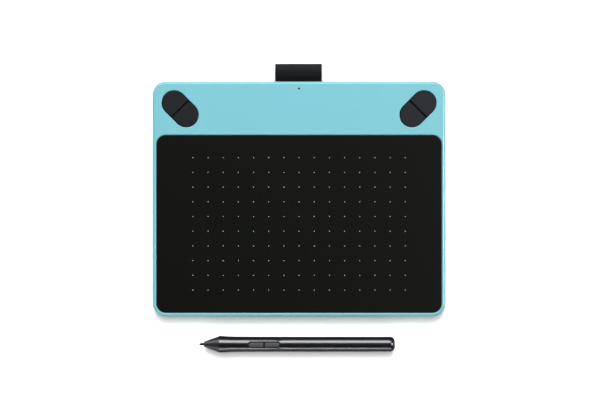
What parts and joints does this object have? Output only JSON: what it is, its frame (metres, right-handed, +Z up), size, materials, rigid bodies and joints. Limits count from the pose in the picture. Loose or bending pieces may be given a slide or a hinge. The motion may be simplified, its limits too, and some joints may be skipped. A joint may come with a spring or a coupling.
{
  "type": "pen drawing tablet",
  "caption": "Flat rounded pen drawing tablet with a recessed drawing surface, slanted split express keys in the rear corners, a ribbon pen loop and a pen with side switches.",
  "frame": {"origin": "middle of the footprint of the whole set (tablet, pen loop and pen), on the desk", "axes": "+X along the tablet's long side to the user's right, +Y away from the user towards the pen loop, +Z up from the desk"},
  "size_m": [0.2102, 0.2076, 0.0118],
  "materials": {
    "shell": "fine matt, mint",
    "panel": "matt, lightly textured, black",
    "key": "matt charcoal",
    "key_mechanism": "plain",
    "ribbon": "woven, black",
    "foot_rubber": "matt",
    "circuit_board": "satin solder mask",
    "chip": "matt",
    "shield": "plain sheet",
    "screw_steel": "zinc",
    "port_steel": "plated",
    "contact_gold": "gold plated",
    "flex": "amber film",
    "light_guide": "clear",
    "tray": "soft",
    "pen_body": "satin, dark metallic",
    "pen_grip": "matt black",
    "pen_button": "matt grey",
    "nib": "matt",
    "ferrite": "matt",
    "copper": "enamelled wire"
  },
  "bodies": {
    "tablet": {"base_cover": "shell", "battery_contacts": "contact_gold", "bay_screws": "screw_steel", "board_screws": "screw_steel", "case_screws": "screw_steel", "control_board": "circuit_board", "crystal": "port_steel", "drawing_surface": "panel", "light_pipe": "light_guide", "loop_anchor": "key_mechanism", "microcontroller": "chip", "module_connector": "chip", "nib_remover": "screw_steel", "nib_tray": "tray", "pen_loop": "ribbon", "ribbon_cable": "flex", "ribbon_connectors": "key_mechanism", "rubber_feet": "foot_rubber", "sensor_board": "circuit_board", "sensor_chip": "chip", "shield_plate": "shield", "small_components": "chip", "spare_nibs": "nib", "status_led": "key_mechanism", "tactile_switches": "key_mechanism", "top_cover": "shell", "usb_shell": "port_steel", "usb_tongue": "chip"},
    "express_key_left_outer": {"express_key_left_outer": "key", "key_plunger_left_outer": "key_mechanism"},
    "express_key_left_inner": {"express_key_left_inner": "key", "key_plunger_left_inner": "key_mechanism"},
    "express_key_right_outer": {"express_key_right_outer": "key", "key_plunger_right_outer": "key_mechanism"},
    "express_key_right_inner": {"express_key_right_inner": "key", "key_plunger_right_inner": "key_mechanism"},
    "compartment_cover": {"compartment_cover": "shell"},
    "pen": {"pen_barrel": "pen_body", "pen_cone": "pen_grip", "pen_cap": "pen_body", "pen_tact_switches": "key_mechanism", "pen_coil_core": "ferrite", "pen_coil_winding": "copper", "pen_pressure_sensor": "key_mechanism", "pen_board": "circuit_board", "pen_carrier": "key_mechanism"},
    "pen_nib": {"pen_nib": "nib"},
    "side_switch_front": {"side_switch_front": "pen_button"},
    "side_switch_rear": {"side_switch_rear": "pen_button"}
  },
  "joints": [
    {"name": "express_key_left_outer_press", "type": "slide", "parent": "tablet", "child": "express_key_left_outer", "axis": [0, 0, -1], "range_m": [0, 0.0005], "stiffness_N_per_m": 400, "springref_m": -0.001},
    {"name": "express_key_left_inner_press", "type": "slide", "parent": "tablet", "child": "express_key_left_inner", "axis": [0, 0, -1], "range_m": [0, 0.0005], "stiffness_N_per_m": 400, "springref_m": -0.001},
    {"name": "express_key_right_outer_press", "type": "slide", "parent": "tablet", "child": "express_key_right_outer", "axis": [0, 0, -1], "range_m": [0, 0.0005], "stiffness_N_per_m": 400, "springref_m": -0.001},
    {"name": "express_key_right_inner_press", "type": "slide", "parent": "tablet", "child": "express_key_right_inner", "axis": [0, 0, -1], "range_m": [0, 0.0005], "stiffness_N_per_m": 400, "springref_m": -0.001},
    {"name": "compartment_cover_slide", "type": "slide", "parent": "tablet", "child": "compartment_cover", "axis": [0, 1, 0], "range_m": [0, 0.068]},
    {"name": "pen_lift", "type": "slide", "parent": "tablet", "child": "pen", "axis": [0, 0, 1], "range_m": [0, 0.05]},
    {"name": "pen_nib_press", "type": "slide", "parent": "pen", "child": "pen_nib", "axis": [1, 0, 0], "range_m": [0, 0.0005], "stiffness_N_per_m": 400, "springref_m": -0.001},
    {"name": "side_switch_front_press", "type": "slide", "parent": "pen", "child": "side_switch_front", "axis": [0, 0, -1], "range_m": [0, 0.0003], "stiffness_N_per_m": 400, "springref_m": -0.001},
    {"name": "side_switch_rear_press", "type": "slide", "parent": "pen", "child": "side_switch_rear", "axis": [0, 0, -1], "range_m": [0, 0.0003], "stiffness_N_per_m": 400, "springref_m": -0.001}
  ]
}
